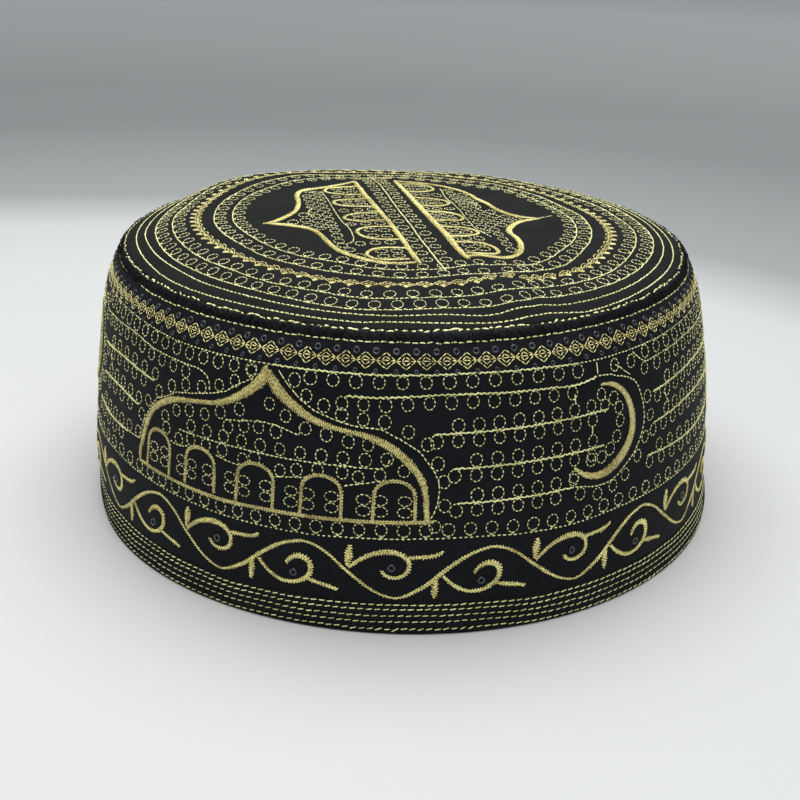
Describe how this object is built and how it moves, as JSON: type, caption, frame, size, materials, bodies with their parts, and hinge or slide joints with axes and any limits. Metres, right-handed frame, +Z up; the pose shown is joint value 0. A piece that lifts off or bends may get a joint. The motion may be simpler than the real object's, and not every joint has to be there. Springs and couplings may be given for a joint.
{
  "type": "kufi",
  "caption": "Stiff round kufi with a low domed oval crown, a tall side band and a ribbed hem, worked in gold thread on black cloth.",
  "frame": {"origin": "middle of the hat's box, on the surface that the rim rests on", "axes": "+Z up through the crown, -Y to the front of the hat as pictured, +X to its right in that view"},
  "size_m": [0.1786, 0.191, 0.0781],
  "materials": {
    "crown_cloth": "charcoal sateen cloth worked with gold thread",
    "binding_thread": "dense black over-sewing, ribbed across",
    "band_cloth": "blue-black plain cloth worked with gold thread",
    "hem_cloth": "black ribbed hem with rows of gold running stitch",
    "gold_thread": "lustrous pale gold embroidery thread",
    "dark_sequin": "small clear dark sequins"
  },
  "bodies": {
    "root": {"crown": "crown_cloth", "seam_binding": "binding_thread", "side_band": "band_cloth", "hem_band": "hem_cloth"}
  },
  "joints": []
}
